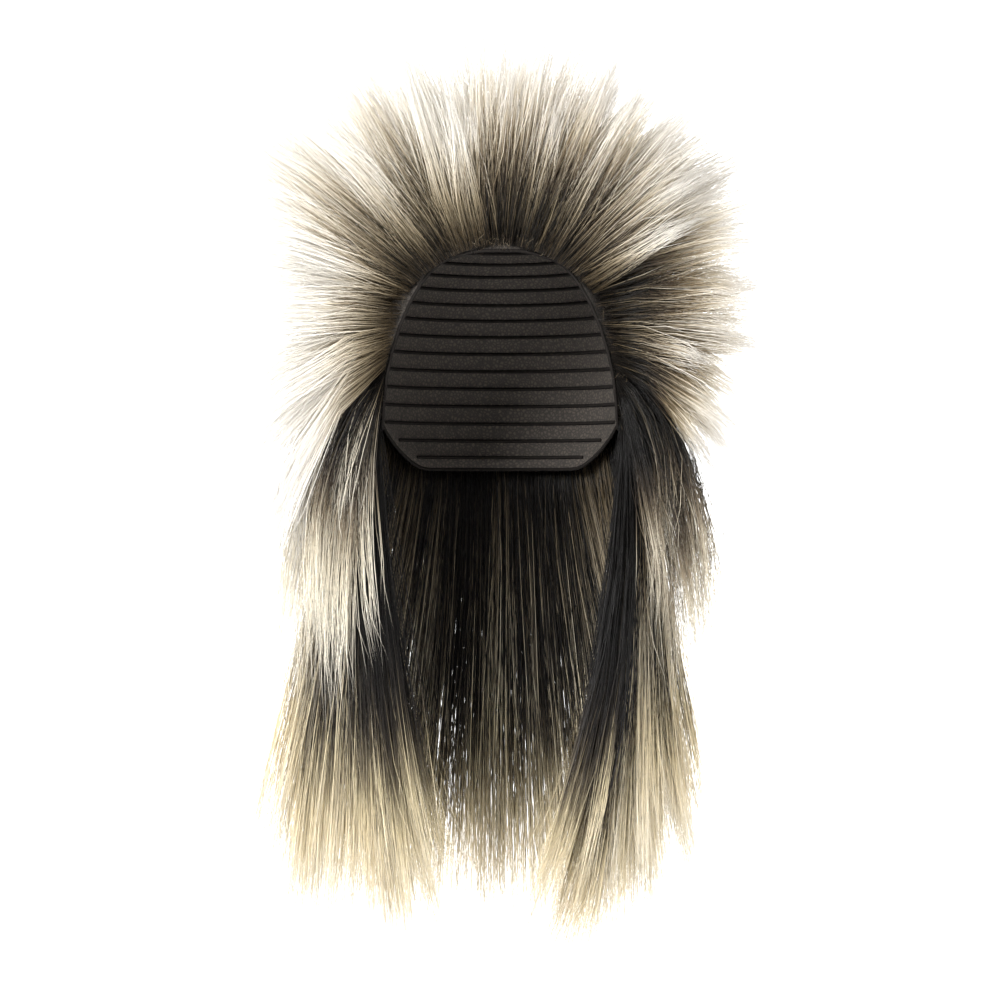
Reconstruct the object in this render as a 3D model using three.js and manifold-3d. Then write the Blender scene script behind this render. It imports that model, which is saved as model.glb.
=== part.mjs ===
// A mullet wig, held as a head holds it: spiky crown and sides, a mid layer and long lengths.
// Millimetres, +Z up, the face towards -Y. The origin is the inside top of the cap, where it
// sits on the head. Hair is built as tapered locks fused to a thin backing that lies on the cap.
import * as THREE from 'three';
import { mergeVertices } from 'three/addons/utils/BufferGeometryUtils.js';
import Module from 'manifold-3d';

const wasm = await Module();
wasm.setup();

// The head that the cap fits, and the cap
const HEAD_HALF_WIDTH = 77;
const HEAD_HALF_LENGTH = 97;
const HEAD_RISE = 105; // crown down to the widest level of the head
const CAP_WALL = 1.5;
const BACKING_WALL = 3;
const CLEARANCE = 0.3; // between pieces that lie on each other

// The cap's rim, seen from the side: drops below the crown, and places behind the ear line
const HAIRLINE_DROP = 22;
const HAIRLINE_PLACE = -57;
const CORNER_DROP = 30;
const CORNER_PLACE = -47;
const TEMPLE_DROP = 79;
const TEMPLE_PLACE = -50;
const EAR_TAB_DROP = 130;
const EAR_TAB_PLACE = -34;
const EAR_TAB_WIDTH = 14;
const EAR_ARCH_DROP = 117;
const EAR_ARCH_START = -12;
const EAR_ARCH_END = 16;
const NAPE_DROP = 152;
const NAPE_PLACE = 60;

// Where one field of hair ends on the cap and the next one starts
const CROWN_HALF_WIDTH = 53;
const CROWN_DROP = 52;
const CROWN_PARTING = 7; // front and back crown meet here, behind the ear line
const SPIKE_DROP = 90; // the side spikes are rooted above this level
const LAYER_DROP = 106; // the mid layer between this level and the spikes
const BACK_TURN = 58; // degrees behind the ear line where the sides meet the back

// How far the hair reaches
const FAN_REACH = 158; // from the middle of the fan to the crown's tips
const FAN_DROP = 48; // the middle of the fan below the crown
const FAN_SETBACK = -25;
const FAN_SHIFT = 4;
const SPIKE_STANDOUT = 80; // tips of the side spikes beyond the head
const LAYER_STANDOUT = 50;
const LAYER_LENGTH = 262; // lowest tips of the mid layer below the crown
const CURTAIN_HALF_WIDTH = 138;
const CURTAIN_DEPTH = 100; // places before or behind the ear line
const LENGTHS_DROP = 444; // lowest tips of the long hair below the crown

// Locks
const HEAD_SEGMENTS = 20;
const HEAD_RINGS = 12;
const LOCK_SIDES = 4;
const SPIKE_STEPS = 3;
const HANGING_STEPS = 4;
const LOCK_THICKNESS = 20; // the tables' thick is a share of it
const LAYER_SPREAD = 1.2; // the mid layer's locks are wider still, because they hang further out
const ROOT_FULLNESS = 0.15; // a lock is narrow at its root and soon swells to its full width
const SWELL = 1.9;
const LOCK_TIP = 0.5; // radius left at the very tip
const TOUSLE = 0.06; // how much the tips are uneven, as a share of a lock's length
const LEAN_TOUSLE = 3; // how much the crown's rows are uneven, degrees
const OVERLAP = 1.6; // a lock's full width, against the room it has at the root of its row
const ROW_INSET = 4; // degrees that the back's rows stay clear of the sides
const BEND = 0.35; // how far along a lock its bend is held, from either end
const DROOP = 0.25; // how much the end of a standing lock turns down
const SPRING = 0.9; // how far out the mid layer springs before it falls

// The fan's uneven outline seen from the front: degrees from upright, share of FAN_REACH
const FAN_OUTLINE = [
  { turn: -90, reach: 1.0 },
  { turn: -59, reach: 1.05 },
  { turn: -44, reach: 1.0 },
  { turn: -28, reach: 1.0 },
  { turn: -15, reach: 0.95 },
  { turn: -2, reach: 1.02 },
  { turn: 6, reach: 0.95 },
  { turn: 11, reach: 1.01 },
  { turn: 35, reach: 0.98 },
  { turn: 50, reach: 1.0 },
  { turn: 66, reach: 0.98 },
  { turn: 90, reach: 0.93 },
];

// Rows of crown locks over the head, ear to ear: root and lean are degrees behind upright,
// span is half the fan's angle at the tips, and the roots take up rootShare of it
const CROWN_FRONT_ROWS = [
  { root: -33, lean: -14, reach: 0.98, span: 72, rootShare: 0.6, locks: 12, thick: 0.8 },
  { root: -16, lean: -2, reach: 1.0, span: 64, rootShare: 0.62, locks: 9, thick: 1.0 },
  { root: -1, lean: 13, reach: 0.99, span: 58, rootShare: 0.62, locks: 7, thick: 1.1 },
];
const CROWN_BACK_ROWS = [
  { root: 19, lean: 33, reach: 0.99, span: 64, rootShare: 0.6, locks: 8, thick: 1.2 },
  { root: 42, lean: 60, reach: 1.1, span: 58, rootShare: 0.64, locks: 7, thick: 1.3 },
];

// Rows of side locks round the head. Root: drop as a share of HEAD_RISE, turns in degrees
// behind the ear line. Tip: turns, standout as a share, and height as a share of FAN_REACH
const SPIKE_ROWS = [
  { drop: 0.38, front: -36, tipFront: -17, standout: 0.92, height: -0.04, locks: 4, thick: 1.2 },
  { drop: 0.56, front: -35, tipFront: -19, standout: 1.0, height: -0.37, locks: 5, thick: 1.1 },
  { drop: 0.7, front: -33, tipFront: -20, standout: 0.96, height: -0.7, locks: 5, thick: 1.0 },
  { drop: 0.81, front: -31, tipFront: -22, standout: 0.7, height: -1.06, locks: 5, thick: 0.9 },
];
const BACK_SPIKE_ROWS = [
  { drop: 0.6, standout: 0.86, height: -0.42, locks: 4, thick: 1.2 },
  { drop: 0.78, standout: 0.84, height: -0.95, locks: 5, thick: 1.1 },
];

// The mid layer hangs from the sides and the back. Length is a share of LAYER_LENGTH
const LAYER_ROWS = [
  { drop: 0.93, front: -26, tipFront: -30, standout: 0.96, length: 1.0, locks: 6, thick: 0.9 },
];
const BACK_LAYER_ROWS = [
  { drop: 0.93, standout: 0.96, length: 1.1, locks: 6, thick: 1.0 },
];

// Long lengths, station by station from the face to the back. Turn: the root, degrees behind
// the ear line. Tip: out and back are shares of CURTAIN_HALF_WIDTH and CURTAIN_DEPTH, drop is
// a share of LENGTHS_DROP. Hold: how far down a lock keeps below its root before it leaves it
const LEFT_LENGTHS = [
  { turn: -21, out: 0.2, back: -0.62, drop: 0.985, hold: 0.75 },
  { turn: -8, out: 0.38, back: -0.56, drop: 0.965, hold: 0.6 },
  { turn: 8, out: 0.6, back: -0.4, drop: 0.93, hold: 0.35 },
  { turn: 26, out: 0.96, back: -0.15, drop: 0.95, hold: 0.1 },
  { turn: 42, out: 0.92, back: 0.2, drop: 0.88, hold: 0.1 },
  { turn: 57, out: 0.82, back: 0.52, drop: 0.93, hold: 0.15 },
];
const RIGHT_LENGTHS = [
  { turn: -21, out: 0.07, back: -0.64, drop: 0.975, hold: 0.85 },
  { turn: -8, out: 0.27, back: -0.58, drop: 1.0, hold: 0.8 },
  { turn: 8, out: 0.5, back: -0.46, drop: 0.98, hold: 0.7 },
  { turn: 26, out: 0.68, back: -0.2, drop: 0.9, hold: 0.6 },
  { turn: 42, out: 0.92, back: 0.2, drop: 0.86, hold: 0.1 },
  { turn: 57, out: 0.84, back: 0.52, drop: 0.92, hold: 0.15 },
];
const BACK_LENGTHS = [
  { turn: 62, out: 0.66, back: 0.72, drop: 0.94, hold: 0.2 },
  { turn: 90, out: 0, back: 0.98, drop: 1.0, hold: 0.3 },
  { turn: 118, out: -0.66, back: 0.72, drop: 0.95, hold: 0.2 },
];
// Rows of the long lengths: root drop as a share of HEAD_RISE, the stretch of stations that
// they run over, and how far in towards the neck their tips lie
const SIDE_LENGTH_ROWS = [
  { drop: 1.06, from: 0, to: 1, tuck: 1, locks: 8, thick: 0.75 },
  { drop: 1.2, from: 0.55, to: 1, tuck: 0.8, locks: 2, thick: 0.8 },
];
const BACK_LENGTH_ROWS = [
  { drop: 1.06, from: 0, to: 1, tuck: 1, locks: 6, thick: 0.9 },
  { drop: 1.28, from: 0.08, to: 0.92, tuck: 0.84, locks: 3, thick: 0.8 },
];

const FAR = 600; // past everything, for cuts that go right through
const LEFT = -1;
const BACK = 0;
const RIGHT = 1;
const UP = new THREE.Vector3(0, 0, 1);
const DOWN = new THREE.Vector3(0, 0, -1);
const BACKING_START = CAP_WALL + CLEARANCE;
const ROOT_LIFT = BACKING_START + BACKING_WALL / 2;

// A closed geometry as a solid that can be joined and cut
function solid(geometry) {
  geometry.deleteAttribute('normal');
  geometry.deleteAttribute('uv');
  const merged = mergeVertices(geometry);
  return new wasm.Manifold(new wasm.Mesh({
    numProp: 3,
    vertProperties: merged.attributes.position.array,
    triVerts: Uint32Array.from(merged.index.array),
  }));
}

function join(solids) {
  return solids.reduce((sum, next) => sum.add(next));
}

// The body itself, without crumbs that a cut has parted from it
function mainBody(shape) {
  return shape.decompose().reduce((most, next) => (next.volume() > most.volume() ? next : most));
}

// The head's rounded form, swollen by lift
function headForm(lift) {
  const ball = new THREE.SphereGeometry(1, HEAD_SEGMENTS, HEAD_RINGS);
  ball.rotateX(Math.PI / 2);
  ball.scale(HEAD_HALF_WIDTH + lift, HEAD_HALF_LENGTH + lift, HEAD_RISE + lift);
  ball.translate(0, 0, -HEAD_RISE);
  return solid(ball);
}

// A block between two corners
function block(low, high) {
  const size = high.clone().sub(low);
  const box = new THREE.BoxGeometry(size.x, size.y, size.z);
  box.translate((low.x + high.x) / 2, (low.y + high.y) / 2, (low.z + high.z) / 2);
  return solid(box);
}

// All that lies above the cap's rim: its side view, cut right through from side to side
function aboveRim() {
  const rim = new THREE.Shape();
  rim.moveTo(-FAR, HEAD_RISE);
  rim.lineTo(-FAR, 1 - HAIRLINE_DROP);
  rim.lineTo(HAIRLINE_PLACE, -HAIRLINE_DROP);
  rim.lineTo(CORNER_PLACE, -CORNER_DROP);
  rim.lineTo(TEMPLE_PLACE, -TEMPLE_DROP);
  rim.lineTo(EAR_TAB_PLACE, -EAR_TAB_DROP);
  rim.lineTo(EAR_TAB_PLACE + EAR_TAB_WIDTH, -EAR_TAB_DROP);
  rim.lineTo(EAR_ARCH_START, -EAR_ARCH_DROP);
  rim.lineTo(EAR_ARCH_END, -EAR_ARCH_DROP);
  rim.lineTo(NAPE_PLACE, -NAPE_DROP);
  rim.lineTo(FAR, -NAPE_DROP);
  rim.lineTo(FAR, HEAD_RISE);
  const slab = new THREE.ExtrudeGeometry(rim, { depth: 2 * FAR, bevelEnabled: false });
  slab.translate(0, 0, -FAR);
  const across = new THREE.Vector3(1, 0, 0);
  slab.applyMatrix4(new THREE.Matrix4().makeBasis(new THREE.Vector3(0, 1, 0), UP, across));
  return solid(slab);
}

// The wedge behind the head between the two sides, seen from above
function backWedge(grow) {
  const edge = new THREE.Vector2(
    HEAD_HALF_WIDTH * Math.cos(THREE.MathUtils.degToRad(BACK_TURN)),
    HEAD_HALF_LENGTH * Math.sin(THREE.MathUtils.degToRad(BACK_TURN)),
  ).setLength(FAR);
  const start = -grow * FAR / edge.x;
  const plan = new THREE.Shape();
  plan.moveTo(0, start);
  plan.lineTo(edge.x, edge.y + start);
  plan.lineTo(-edge.x, edge.y + start);
  const wedge = new THREE.ExtrudeGeometry(plan, { depth: 2 * FAR, bevelEnabled: false });
  wedge.translate(0, 0, -FAR);
  return solid(wedge);
}

// Where each field of hair may lie on the cap, grown by a margin on every side
function crownZone(front, grow) {
  const width = CROWN_HALF_WIDTH + grow;
  const low = new THREE.Vector3(-width, front ? -FAR : CROWN_PARTING - grow, -CROWN_DROP - grow);
  const high = new THREE.Vector3(width, front ? CROWN_PARTING + grow : FAR, FAR);
  return block(low, high);
}

function bandZone(part, top, bottom, grow) {
  const low = new THREE.Vector3(part === RIGHT ? 0 : -FAR, -FAR, -bottom - grow);
  const high = new THREE.Vector3(part === LEFT ? 0 : FAR, FAR, -top + grow);
  const band = block(low, high);
  const back = backWedge(part === BACK ? grow : CLEARANCE - grow);
  return part === BACK ? band.intersect(back) : band.subtract(back);
}

const head = headForm(BACKING_START);
const rimCut = aboveRim();

function backing(zone, grow) {
  const shell = headForm(BACKING_START + BACKING_WALL + grow).subtract(headForm(BACKING_START - grow));
  return shell.intersect(rimCut).intersect(zone);
}

// A spot on the head's form in a direction from its middle, lifted off the skin
function skinSpot(direction, lift) {
  return new THREE.Vector3(
    direction.x * (HEAD_HALF_WIDTH + lift),
    direction.y * (HEAD_HALF_LENGTH + lift),
    direction.z * (HEAD_RISE + lift) - HEAD_RISE,
  );
}

function skinNormal(direction) {
  return new THREE.Vector3(
    direction.x / HEAD_HALF_WIDTH,
    direction.y / HEAD_HALF_LENGTH,
    direction.z / HEAD_RISE,
  ).normalize();
}

// Direction to a root on a row that runs from ear to ear over the crown
function overDirection(aside, behind) {
  const a = THREE.MathUtils.degToRad(aside);
  const b = THREE.MathUtils.degToRad(behind);
  return new THREE.Vector3(Math.sin(a), Math.cos(a) * Math.sin(b), Math.cos(a) * Math.cos(b));
}

// Direction to a root on a level row round the head, a drop below the crown
function roundDirection(side, turn, drop) {
  const rise = (HEAD_RISE - drop) / HEAD_RISE;
  const level = Math.sqrt(1 - rise * rise);
  const a = THREE.MathUtils.degToRad(turn);
  return new THREE.Vector3(side * level * Math.cos(a), level * Math.sin(a), rise);
}

// A column of a table at any place between its rows
function readTable(table, key, column, at) {
  const above = table.findIndex((row) => row[key] >= at);
  if (above === 0) return table[0][column];
  if (above < 0) return table[table.length - 1][column];
  const share = (at - table[above - 1][key]) / (table[above][key] - table[above - 1][key]);
  return THREE.MathUtils.lerp(table[above - 1][column], table[above][column], share);
}

function readStation(stations, column, share) {
  const place = share * (stations.length - 1);
  const first = Math.min(Math.floor(place), stations.length - 2);
  return THREE.MathUtils.lerp(stations[first][column], stations[first + 1][column], place - first);
}

// Uneven but always the same: -1 to 1
function tousle(count, row) {
  return 2 * ((count * 0.618 + row * 0.377 + 0.13) % 1) - 1;
}

// One lock: a many-sided rod bent along a curve, full at the root and tapered to its tip.
// Across is the way its broad side lies
function lock({ path, across, width, thick, steps }, grow) {
  const rod = new THREE.CylinderGeometry(1, 1, 1, LOCK_SIDES, steps);
  const spots = rod.attributes.position;
  for (let i = 0; i < spots.count; i++) {
    const share = THREE.MathUtils.clamp(spots.getY(i) + 0.5, 0, 1);
    const along = path.getTangent(share);
    const broad = across.clone().addScaledVector(along, -across.dot(along)).normalize();
    const deep = broad.clone().cross(along);
    const fullness = (1 - share * share) * Math.min(1, ROOT_FULLNESS + SWELL * share);
    const spot = path.getPoint(share);
    spot.addScaledVector(along, grow * share);
    spot.addScaledVector(broad, spots.getX(i) * (width / 2 * fullness + LOCK_TIP + grow));
    spot.addScaledVector(deep, spots.getZ(i) * (thick / 2 * fullness + LOCK_TIP + grow));
    spots.setXYZ(i, spot.x, spot.y, spot.z);
  }
  return solid(rod);
}

// A lock that stands out: it leaves the head between its normal and its tip's direction
function spike({ direction, tip, across, width, thick }, grow) {
  const root = skinSpot(direction, ROOT_LIFT);
  const reach = tip.clone().sub(root);
  const length = reach.length();
  reach.normalize();
  const start = reach.clone().add(skinNormal(direction)).normalize();
  const end = reach.clone().addScaledVector(DOWN, DROOP).normalize();
  const path = new THREE.CubicBezierCurve3(
    root,
    root.clone().addScaledVector(start, length * BEND),
    tip.clone().addScaledVector(end, -length * BEND),
    tip,
  );
  return lock({ path, across, width, thick, steps: SPIKE_STEPS }, grow);
}

// A lock that hangs: out from the head, over and down to its tip
function hangingLock({ direction, tip, hold, spring, across, width, thick }, grow) {
  const root = skinSpot(direction, ROOT_LIFT);
  const fall = root.z - tip.z;
  const over = skinNormal(direction).setZ(0).multiplyScalar(spring).add(root);
  over.z -= fall * DROOP;
  const before = tip.clone().lerp(root, hold).setZ(tip.z + fall * BEND);
  const path = new THREE.CubicBezierCurve3(root, over, before, tip);
  return lock({ path, across, width, thick, steps: HANGING_STEPS }, grow);
}

// Rows of crown locks, fanned out from ear to ear
function crownRow(row, number, grow) {
  const locks = [];
  const thick = row.thick * LOCK_THICKNESS;
  const halfRoots = row.span * row.rootShare;
  const room = 2 * HEAD_HALF_WIDTH * Math.sin(THREE.MathUtils.degToRad(halfRoots)) / (row.locks - 1);
  for (let i = 0; i < row.locks; i++) {
    const aside = 2 * i / (row.locks - 1) - 1;
    const fan = overDirection(aside * row.span, row.lean + LEAN_TOUSLE * tousle(i, number));
    const outline = readTable(FAN_OUTLINE, 'turn', 'reach', aside * row.span);
    const reach = FAN_REACH * row.reach * outline * (1 + TOUSLE * tousle(i, number + 5));
    const tip = new THREE.Vector3(FAN_SHIFT, FAN_SETBACK, -FAN_DROP).addScaledVector(fan, reach);
    const direction = overDirection(aside * halfRoots, row.root);
    const across = overDirection(aside * halfRoots + 1, row.root).sub(direction);
    locks.push(spike({ direction, tip, across, width: room * OVERLAP, thick }, grow));
  }
  return locks;
}

// A level row of standing or hanging locks round one part of the head. The back's turns run on
// past the middle to the other side
function roundRow(row, number, part, tipHeight, hangs, grow) {
  const locks = [];
  const thick = row.thick * LOCK_THICKNESS;
  const side = part === BACK ? RIGHT : part;
  const edge = BACK_TURN - 90 / (row.locks * 2);
  const rootSpan = part === BACK ? [BACK_TURN + ROW_INSET, 180 - ROW_INSET - BACK_TURN] : [row.front, edge];
  const tipSpan = part === BACK ? rootSpan : [row.tipFront, edge];
  const drop = row.drop * HEAD_RISE;
  const arc = THREE.MathUtils.degToRad(rootSpan[1] - rootSpan[0]) * HEAD_HALF_LENGTH;
  const standout = (hangs ? LAYER_STANDOUT : SPIKE_STANDOUT) * row.standout;
  for (let i = 0; i < row.locks; i++) {
    const share = i / (row.locks - 1);
    const turn = THREE.MathUtils.lerp(rootSpan[0], rootSpan[1], share);
    const tipTurn = THREE.MathUtils.degToRad(THREE.MathUtils.lerp(tipSpan[0], tipSpan[1], share));
    const beyond = standout * (1 + TOUSLE * tousle(i, number));
    const tip = new THREE.Vector3(
      side * (HEAD_HALF_WIDTH + beyond) * Math.cos(tipTurn),
      (HEAD_HALF_LENGTH + beyond) * Math.sin(tipTurn),
      tipHeight(row) * (1 + TOUSLE * tousle(i, number + 3)),
    );
    const direction = roundDirection(side, turn, drop);
    const across = roundDirection(side, turn + 1, drop).sub(direction);
    const room = arc / (row.locks - 1);
    const width = room * OVERLAP * (hangs ? LAYER_SPREAD : 1);
    const form = { direction, tip, across, width, thick };
    locks.push(hangs
      ? hangingLock({ ...form, hold: 0, spring: beyond * SPRING }, grow)
      : spike(form, grow));
  }
  return locks;
}

// A row of long lengths, between stations
function lengthsRow(row, number, side, stations, grow) {
  const locks = [];
  const thick = row.thick * LOCK_THICKNESS;
  const first = readStation(stations, 'turn', row.from);
  const last = readStation(stations, 'turn', row.to);
  const arc = THREE.MathUtils.degToRad(last - first) * HEAD_HALF_LENGTH;
  for (let i = 0; i < row.locks; i++) {
    const share = THREE.MathUtils.lerp(row.from, row.to, i / (row.locks - 1));
    const turn = readStation(stations, 'turn', share);
    const direction = roundDirection(side, turn, row.drop * HEAD_RISE);
    const across = roundDirection(side, turn + 1, row.drop * HEAD_RISE).sub(direction);
    const length = LENGTHS_DROP * (1 - TOUSLE / 2 * (1 + tousle(i, number)));
    const tip = new THREE.Vector3(
      side * CURTAIN_HALF_WIDTH * readStation(stations, 'out', share) * row.tuck,
      CURTAIN_DEPTH * readStation(stations, 'back', share) * row.tuck,
      -length * readStation(stations, 'drop', share),
    );
    const hold = readStation(stations, 'hold', share);
    const width = arc / (row.locks - 1) * OVERLAP;
    const form = { direction, tip, hold, spring: thick / 2, across, width, thick };
    locks.push(hangingLock(form, grow));
  }
  return locks;
}

// Every field of hair: where its backing lies and its rows of locks
function crownField(front, rows) {
  return (grow) => [
    backing(crownZone(front, grow), grow),
    ...rows.flatMap((row, number) => crownRow(row, number + (front ? 0 : 4), grow)),
  ];
}

function spikeField(part, rows) {
  const height = (row) => row.height * FAN_REACH;
  return (grow) => {
    const band = bandZone(part, -FAR, SPIKE_DROP, grow);
    const crown = crownZone(true, CLEARANCE).add(crownZone(false, CLEARANCE));
    return [
      backing(band.subtract(crown), grow),
      ...rows.flatMap((row, number) => roundRow(row, number, part, height, false, grow)),
    ];
  };
}

function layerField(part, rows) {
  const height = (row) => -row.length * LAYER_LENGTH;
  return (grow) => [
    backing(bandZone(part, SPIKE_DROP, LAYER_DROP, grow), grow),
    ...rows.flatMap((row, number) => roundRow(row, number, part, height, true, grow)),
  ];
}

function lengthsField(part, rows, stations) {
  const side = part === BACK ? RIGHT : part;
  return (grow) => [
    backing(bandZone(part, LAYER_DROP, FAR, grow), grow),
    ...rows.flatMap((row, number) => lengthsRow(row, number, side, stations, grow)),
  ];
}

// Colour, roughness and metalness of each piece
const LOOKS = {
  cap: { color: 0x1c1916, roughness: 0.9 },
  spikes: { color: 0xb3a68c, roughness: 0.55 },
  layer: { color: 0x9c8f76, roughness: 0.55 },
  lengths: { color: 0x766b58, roughness: 0.55 },
};

function piece(name, shape, look) {
  const { vertProperties, triVerts } = shape.getMesh();
  const geometry = new THREE.BufferGeometry();
  geometry.setAttribute('position', new THREE.BufferAttribute(vertProperties, 3));
  geometry.setIndex(new THREE.BufferAttribute(triVerts, 1));
  geometry.computeVertexNormals();
  const material = new THREE.MeshStandardMaterial({ ...look, metalness: 0 });
  const mesh = new THREE.Mesh(geometry, material);
  mesh.name = name;
  return mesh;
}

const wig = new THREE.Group();
wig.add(piece('cap', headForm(CAP_WALL).subtract(headForm(0)).intersect(rimCut), LOOKS.cap));

// From the innermost hair outwards: each field leaves room for those before it
const FIELDS = [
  { name: 'back_long_lengths', make: lengthsField(BACK, BACK_LENGTH_ROWS, BACK_LENGTHS), look: LOOKS.lengths },
  { name: 'left_long_lengths', make: lengthsField(LEFT, SIDE_LENGTH_ROWS, LEFT_LENGTHS), look: LOOKS.lengths },
  { name: 'right_long_lengths', make: lengthsField(RIGHT, SIDE_LENGTH_ROWS, RIGHT_LENGTHS), look: LOOKS.lengths },
  { name: 'back_mid_layer', make: layerField(BACK, BACK_LAYER_ROWS), look: LOOKS.layer },
  { name: 'left_mid_layer', make: layerField(LEFT, LAYER_ROWS), look: LOOKS.layer },
  { name: 'right_mid_layer', make: layerField(RIGHT, LAYER_ROWS), look: LOOKS.layer },
  { name: 'back_spikes', make: spikeField(BACK, BACK_SPIKE_ROWS), look: LOOKS.spikes },
  { name: 'left_side_spikes', make: spikeField(LEFT, SPIKE_ROWS), look: LOOKS.spikes },
  { name: 'right_side_spikes', make: spikeField(RIGHT, SPIKE_ROWS), look: LOOKS.spikes },
  { name: 'crown_back_spikes', make: crownField(false, CROWN_BACK_ROWS), look: LOOKS.spikes },
  { name: 'crown_front_spikes', make: crownField(true, CROWN_FRONT_ROWS), look: LOOKS.spikes },
];

const taken = [head];
for (const { name, make, look } of FIELDS) {
  const hair = taken.reduce((shape, earlier) => shape.subtract(earlier), join(make(0)));
  wig.add(piece(name, mainBody(hair), look));
  taken.push(join(make(CLEARANCE)));
}

export default wig;
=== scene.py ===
# A mullet wig on its net cap: teased crown and sides, a mid layer and long blonde-ended lengths.
# Metres, +Z up, the face opening towards -Y, the origin at the inside top of the cap.
import math

import bpy
import numpy as np
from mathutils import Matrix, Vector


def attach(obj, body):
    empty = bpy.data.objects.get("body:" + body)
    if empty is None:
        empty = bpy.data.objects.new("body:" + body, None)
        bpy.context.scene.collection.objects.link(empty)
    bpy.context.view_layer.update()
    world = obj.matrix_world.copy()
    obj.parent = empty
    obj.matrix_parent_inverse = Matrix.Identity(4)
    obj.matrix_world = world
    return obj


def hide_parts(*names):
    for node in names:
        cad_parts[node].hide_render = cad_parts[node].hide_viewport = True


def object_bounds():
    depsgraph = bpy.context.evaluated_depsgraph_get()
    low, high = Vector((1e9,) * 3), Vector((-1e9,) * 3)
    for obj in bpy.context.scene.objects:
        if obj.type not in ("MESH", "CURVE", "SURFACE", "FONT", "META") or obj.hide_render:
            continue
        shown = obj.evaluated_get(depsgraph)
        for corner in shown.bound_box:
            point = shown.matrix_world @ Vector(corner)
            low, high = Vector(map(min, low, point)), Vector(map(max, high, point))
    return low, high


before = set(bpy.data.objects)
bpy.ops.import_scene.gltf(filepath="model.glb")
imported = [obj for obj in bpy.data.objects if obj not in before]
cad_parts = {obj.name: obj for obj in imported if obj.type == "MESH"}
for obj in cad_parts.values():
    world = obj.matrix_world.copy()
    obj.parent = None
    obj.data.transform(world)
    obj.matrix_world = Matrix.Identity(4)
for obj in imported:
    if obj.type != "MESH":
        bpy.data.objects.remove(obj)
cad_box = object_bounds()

# Studio: a white paper sweep, one large soft light from the front left and two weaker ones.
# The camera stands level in front of the face, a little over two metres away.
IMAGE_CENTRE_DROP = 0.172
CAMERA_DISTANCE = 2.225
PICTURE_WIDTH = 0.62  # of the wig's own plane
SENSOR = 0.036
FLOOR_LEVEL = -0.9

scene = bpy.context.scene
scene.view_settings.view_transform = "Standard"
bpy.ops.object.select_all(action="DESELECT")

camera_data = bpy.data.cameras.new("camera")
camera_data.sensor_width = SENSOR * 1000
camera_data.lens = SENSOR * 1000 * CAMERA_DISTANCE / PICTURE_WIDTH
camera = bpy.data.objects.new("camera", camera_data)
camera.location = (0, -CAMERA_DISTANCE, -IMAGE_CENTRE_DROP)
camera.rotation_euler = (math.pi / 2, 0, 0)
scene.collection.objects.link(camera)
scene.camera = camera


def linear(hex_colour):
    """An sRGB hex colour as linear RGBA."""
    parts = [int(hex_colour[i:i + 2], 16) / 255 for i in (1, 3, 5)]
    return [((c + 0.055) / 1.055) ** 2.4 if c > 0.04045 else c / 12.92 for c in parts] + [1.0]


def add_node(tree, kind, settings=None, links=None):
    """One node with its settings, and its inputs given as numbers, colours or other sockets."""
    node = tree.nodes.new(kind)
    for key, value in (settings or {}).items():
        setattr(node, key, value)
    for key, value in (links or {}).items():
        if isinstance(value, bpy.types.NodeSocket):
            tree.links.new(value, node.inputs[key])
        else:
            node.inputs[key].default_value = value
    return node


def new_material(name):
    """An empty material, with its node tree and its output."""
    material = bpy.data.materials.new(name)
    material.use_nodes = True
    tree = material.node_tree
    tree.nodes.clear()
    return material, tree, tree.nodes.new("ShaderNodeOutputMaterial")


# White studio paper, matt and even: to the camera it glows a little more than it lights the wig
paper, tree, output = new_material("white_paper_sweep")
seen = add_node(tree, "ShaderNodeLightPath")
glow = add_node(tree, "ShaderNodeMapRange", links={
    "Value": seen.outputs["Is Camera Ray"], "To Min": 0.42, "To Max": 0.9})
surface = add_node(tree, "ShaderNodeBsdfPrincipled", links={
    "Base Color": linear("#fbfbfb"), "Roughness": 0.9, "Specular IOR Level": 0.1,
    "Emission Color": linear("#ffffff"), "Emission Strength": glow.outputs["Result"]})
tree.links.new(surface.outputs[0], output.inputs["Surface"])

SWEEP_WIDTH = 14.0
SWEEP_FRONT = -6.0
SWEEP_BEND_START = 3.2
SWEEP_BEND = 1.4
SWEEP_TOP = 6.0
SWEEP_STEPS = 17
bend = [
    (SWEEP_BEND_START + SWEEP_BEND * math.sin(a), FLOOR_LEVEL + SWEEP_BEND * (1 - math.cos(a)))
    for a in np.linspace(0, math.pi / 2, SWEEP_STEPS)
]
profile = [(SWEEP_FRONT, FLOOR_LEVEL), *bend, (bend[-1][0], SWEEP_TOP)]
sweep_mesh = bpy.data.meshes.new("paper_sweep")
sweep_mesh.from_pydata(
    [(side * SWEEP_WIDTH / 2, y, z) for y, z in profile for side in (-1, 1)],
    [],
    [(2 * i, 2 * i + 1, 2 * i + 3, 2 * i + 2) for i in range(len(profile) - 1)],
)
sweep_mesh.shade_smooth()
sweep = bpy.data.objects.new("paper_sweep", sweep_mesh)
scene.collection.objects.link(sweep)
sweep.data.materials.append(paper)

world = bpy.data.worlds.new("studio_white")
world.use_nodes = True
sky = world.node_tree.nodes["Background"]
seen = add_node(world.node_tree, "ShaderNodeLightPath")
strength = add_node(world.node_tree, "ShaderNodeMapRange", links={
    "Value": seen.outputs["Is Camera Ray"], "To Min": 0.5, "To Max": 1.0})
sky.inputs["Color"].default_value = linear("#ffffff")
world.node_tree.links.new(strength.outputs["Result"], sky.inputs["Strength"])
scene.world = world

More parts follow.
